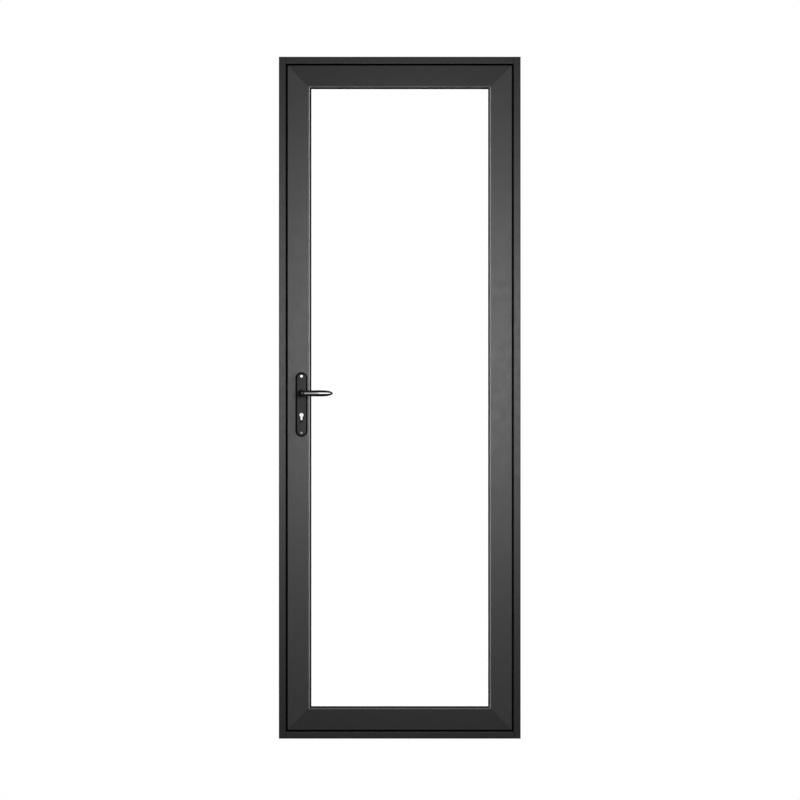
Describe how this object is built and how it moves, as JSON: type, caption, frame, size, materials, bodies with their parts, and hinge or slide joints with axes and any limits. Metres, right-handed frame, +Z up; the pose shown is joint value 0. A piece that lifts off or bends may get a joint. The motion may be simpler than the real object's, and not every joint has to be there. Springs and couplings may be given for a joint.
{
  "type": "glazed door",
  "caption": "Glazed door: a slim dark metal frame with a flush hinged leaf, clear double glazing, lever handles, a spring latch and a key-operated bolt.",
  "frame": {"origin": "middle of the sill's underside, at half the frame's depth", "axes": "+X from the lock side to the hinge side, +Y from the flush front face to the rear face with the hinges, +Z up"},
  "size_m": [0.78, 0.177, 2.2],
  "materials": {
    "frame_coat": "fine-textured satin powder coat, charcoal black",
    "insulation": "glass-filled polyamide, matt black",
    "bare_metal": "mill finish",
    "screw_steel": "zinc-plated",
    "bright_screw": "bright nickel",
    "lock_steel": "satin stainless steel",
    "housing_plastic": "moulded black plastic",
    "hinge_coat": "satin powder coat, black",
    "clear_glass": "clear toughened float glass",
    "spacer_metal": "grey anodised",
    "seal_rubber": "black rubber seal",
    "setting_block": "moulded plastic block",
    "nickel": "satin nickel plate",
    "plate_black": "satin black coat",
    "lever_black": "gloss black coat"
  },
  "bodies": {
    "frame": {"frame_jamb_lock_front": "frame_coat", "frame_jamb_lock_rear": "frame_coat", "frame_jamb_hinge_front": "frame_coat", "frame_jamb_hinge_rear": "frame_coat", "frame_head_front": "frame_coat", "frame_head_rear": "frame_coat", "frame_sill_front": "frame_coat", "frame_sill_rear": "frame_coat", "frame_strips": "insulation", "frame_corner_blocks": "bare_metal", "frame_corner_screws": "screw_steel", "keep_screws": "screw_steel", "hinge_frame_screws": "screw_steel", "keep_plate": "lock_steel", "keep_housing": "housing_plastic", "hinge_frame_half_1": "hinge_coat", "hinge_frame_half_2": "hinge_coat", "hinge_frame_half_3": "hinge_coat", "hinge_pins": "lock_steel"},
    "leaf": {"leaf_stile_lock_front": "frame_coat", "leaf_stile_lock_rear": "frame_coat", "leaf_stile_hinge_front": "frame_coat", "leaf_stile_hinge_rear": "frame_coat", "leaf_rail_top_front": "frame_coat", "leaf_rail_top_rear": "frame_coat", "leaf_rail_bottom_front": "frame_coat", "leaf_rail_bottom_rear": "frame_coat", "beads_horizontal": "frame_coat", "beads_vertical": "frame_coat", "leaf_strips": "insulation", "leaf_corner_cleats": "bare_metal", "hinge_leaf_screws": "screw_steel", "lock_screws": "screw_steel", "handle_plate_screws": "bright_screw", "lock_case": "lock_steel", "lock_face_plate": "lock_steel", "lever_bushes": "housing_plastic", "hinge_leaf_half_1": "hinge_coat", "hinge_leaf_half_2": "hinge_coat", "hinge_leaf_half_3": "hinge_coat", "pane_front": "clear_glass", "pane_rear": "clear_glass", "glass_spacer": "spacer_metal", "glass_sealant": "seal_rubber", "glazing_gasket_front": "seal_rubber", "glazing_gasket_rear": "seal_rubber", "rebate_gasket": "seal_rubber", "centre_gasket": "seal_rubber", "glazing_packers": "setting_block", "cylinder_body": "nickel", "handle_plate_front": "plate_black", "handle_plate_rear": "plate_black"},
    "handle": {"lever_front": "lever_black", "lever_rear": "lever_black", "spindle": "lock_steel", "follower": "lock_steel"},
    "latch": {"latch_bolt": "lock_steel"},
    "bolt": {"dead_bolt": "lock_steel"},
    "plug": {"cylinder_plugs": "nickel", "cylinder_cam": "nickel"}
  },
  "joints": [
    {"name": "leaf_swing", "type": "hinge", "parent": "frame", "child": "leaf", "pos_m": [0.3755, 0.05, 1.1], "axis": [0, 0, -1], "range_deg": [0, 100]},
    {"name": "handle_turn", "type": "hinge", "parent": "leaf", "child": "handle", "pos_m": [-0.317, 0, 1.114], "axis": [0, 1, 0], "range_deg": [0, 45], "stiffness_Nm_per_rad": 1.2, "springref_deg": -34.38},
    {"name": "latch_slide", "type": "slide", "parent": "leaf", "child": "latch", "axis": [1, 0, 0], "range_m": [0, 0.012]},
    {"name": "key_turn", "type": "hinge", "parent": "leaf", "child": "plug", "pos_m": [-0.317, 0, 1.044], "axis": [0, 1, 0], "range_deg": [0, 360]},
    {"name": "bolt_slide", "type": "slide", "parent": "leaf", "child": "bolt", "axis": [-1, 0, 0], "range_m": [0, 0.02]}
  ],
  "couplings": [
    {"joint": "latch_slide", "follows": "handle_turn", "m_per_rad": 0.01527},
    {"joint": "key_turn", "follows": "bolt_slide", "rad_per_m": 314.16}
  ]
}
